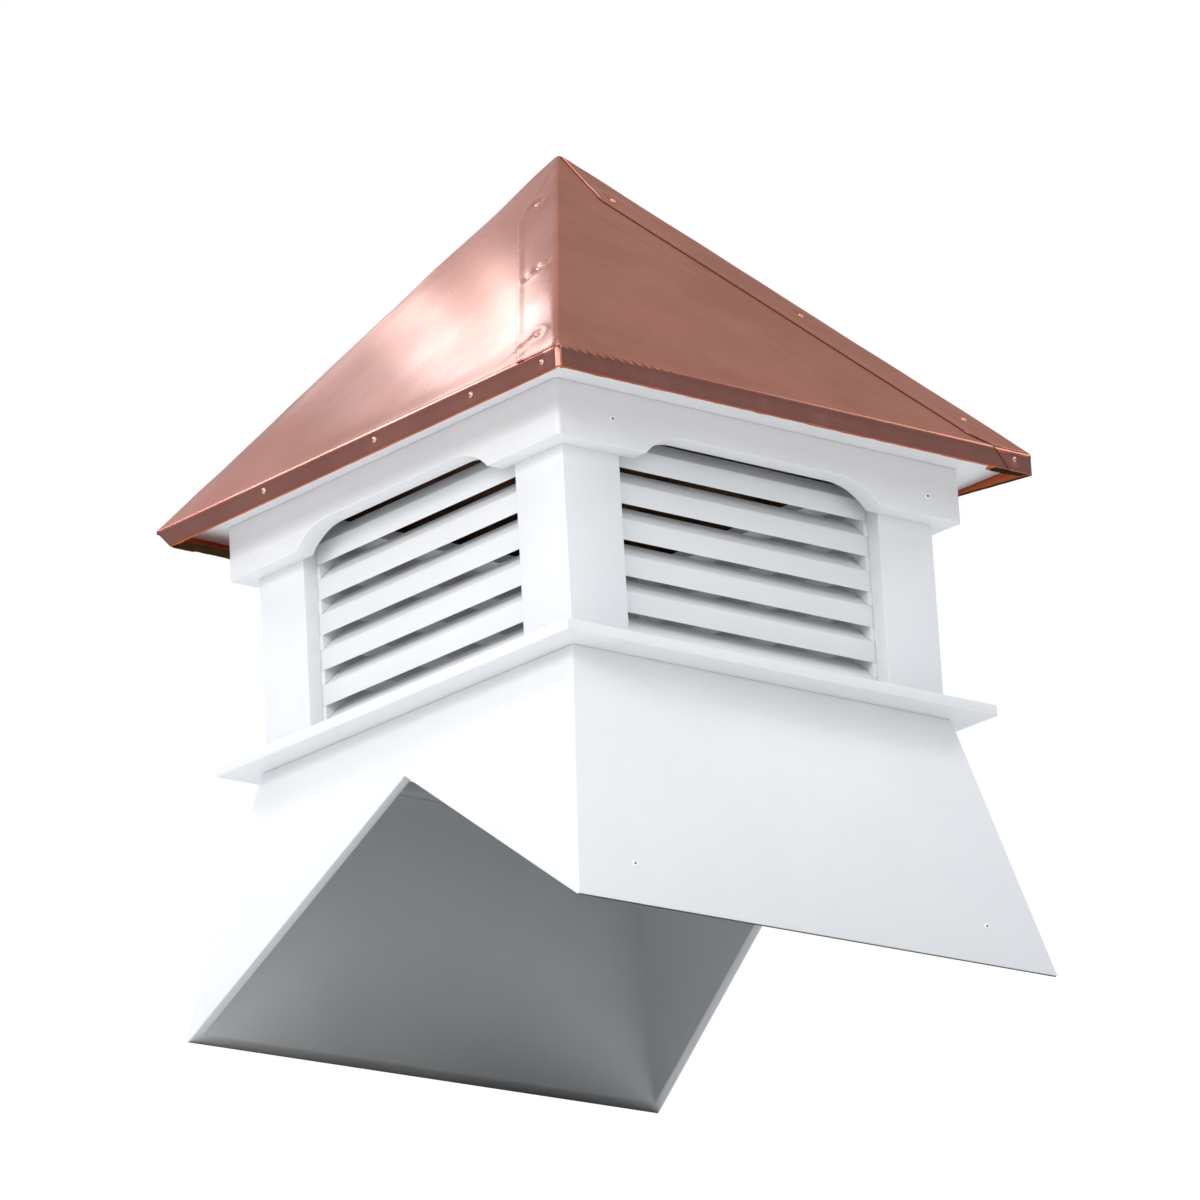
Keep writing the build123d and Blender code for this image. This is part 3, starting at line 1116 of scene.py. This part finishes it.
def makeFloor(name, half, z, colour):
    # seen and lit from above only, because the camera looks up from below its level
    corners = [(-half, -half, z), (half, -half, z), (half, half, z), (-half, half, z)]
    material = bpy.data.materials.new(name)
    material.use_nodes = True
    tree = material.node_tree
    tree.nodes.clear()
    paint = addNode(tree, "ShaderNodeBsdfDiffuse", {}, {"Color": linear(colour)})
    clear = addNode(tree, "ShaderNodeBsdfTransparent")
    under = addNode(tree, "ShaderNodeNewGeometry").outputs["Backfacing"]
    both = addNode(tree, "ShaderNodeMixShader", {}, {
        0: under, 1: paint.outputs["BSDF"], 2: clear.outputs["BSDF"]})
    addNode(tree, "ShaderNodeOutputMaterial", {}, {"Surface": both.outputs["Shader"]})
    meshPiece(name, corners, [(0, 1, 2, 3)], material)


def makeWorld():
    # white to the camera, darker towards the horizon in the copper, and soft light on the boards
    world = bpy.data.worlds.new("studioWorld")
    world.use_nodes = True
    bpy.context.scene.world = world
    tree = world.node_tree
    tree.nodes.clear()
    ray = addNode(tree, "ShaderNodeLightPath")
    seen = addNode(tree, "ShaderNodeMath", {"operation": "MAXIMUM"}, {
        0: ray.outputs["Is Camera Ray"], 1: ray.outputs["Is Transmission Ray"]})
    shown = addNode(tree, "ShaderNodeMath", {"operation": "MAXIMUM"}, {
        0: seen.outputs[0], 1: ray.outputs["Is Glossy Ray"]})
    towards = addNode(tree, "ShaderNodeTexCoord").outputs["Generated"]
    height = addNode(tree, "ShaderNodeSeparateXYZ", {}, {0: towards})
    sky = addNode(tree, "ShaderNodeMapRange", {"interpolation_type": "SMOOTHSTEP"}, {
        "Value": height.outputs["Z"],
        "From Min": studio["skyRise"][0], "From Max": studio["skyRise"][1]})
    level = addNode(tree, "ShaderNodeMath", {"operation": "MAXIMUM"}, {
        0: sky.outputs["Result"], 1: seen.outputs[0]})
    tone = addNode(tree, "ShaderNodeMix", {"data_type": "RGBA"}, {
        "Factor": level.outputs[0],
        6: linear(studio["lowSky"]), 7: linear(studio["highSky"])})
    white = addNode(tree, "ShaderNodeBackground", {}, {"Color": tone.outputs[2], "Strength": 1.0})
    above = addNode(tree, "ShaderNodeMapRange", {"interpolation_type": "SMOOTHSTEP"}, {
        "Value": height.outputs["Z"],
        "From Min": studio["ambientRise"][0], "From Max": studio["ambientRise"][1],
        "To Min": studio["ambientLow"], "To Max": studio["ambientHigh"]})
    soft = addNode(tree, "ShaderNodeBackground", {}, {
        "Color": linear(studio["ambient"]), "Strength": above.outputs["Result"]})
    both = addNode(tree, "ShaderNodeMixShader", {}, {
        0: shown.outputs[0], 1: soft.outputs["Background"], 2: white.outputs["Background"]})
    addNode(tree, "ShaderNodeOutputWorld", {}, {"Surface": both.outputs["Shader"]})


def makeLamp(name, spec):
    data = bpy.data.lights.new(name, "AREA")
    data.shape = "RECTANGLE"
    data.size, data.size_y = spec["size"]
    data.energy = spec["power"]
    data.color = linear(spec["colour"])[:3]
    lamp = bpy.data.objects.new(name, data)
    back = (Vector(spec["place"]) - Vector(spec["aim"])).normalized()
    across = Vector(spec.get("along", (0, 0, 1))).cross(back).normalized()
    turn = Matrix((across.cross(back), across, back)).transposed()
    lamp.matrix_world = Matrix.Translation(spec["place"]) @ turn.to_4x4()
    bpy.context.collection.objects.link(lamp)


makeFloor("paleFloor", studio["floorSize"] / 2, 0, studio["floor"])
makeWorld()
for name, spec in lamps.items():
    makeLamp(name, spec)

view = {
    "place": (-3.98244, -4.62632, -1.61665),
    "turn": (108.0658, 3.0897, -39.7398),
    "lens": 219.628,  # mm, on a sensor 36 mm wide
    "sensor": 36,
    "clipEnd": 50,
}
cameraData = bpy.data.cameras.new("photoCamera")
cameraData.lens = view["lens"]
cameraData.sensor_width = view["sensor"]
cameraData.clip_end = view["clipEnd"]
camera = bpy.data.objects.new("photoCamera", cameraData)
camera.location = view["place"]
camera.rotation_euler = Euler([math.radians(a) for a in view["turn"]], "XYZ")
bpy.context.collection.objects.link(camera)
bpy.context.scene.camera = camera
bpy.context.scene.view_settings.view_transform = "Standard"
print("stage, light and camera made")

bpy.context.view_layer.update()
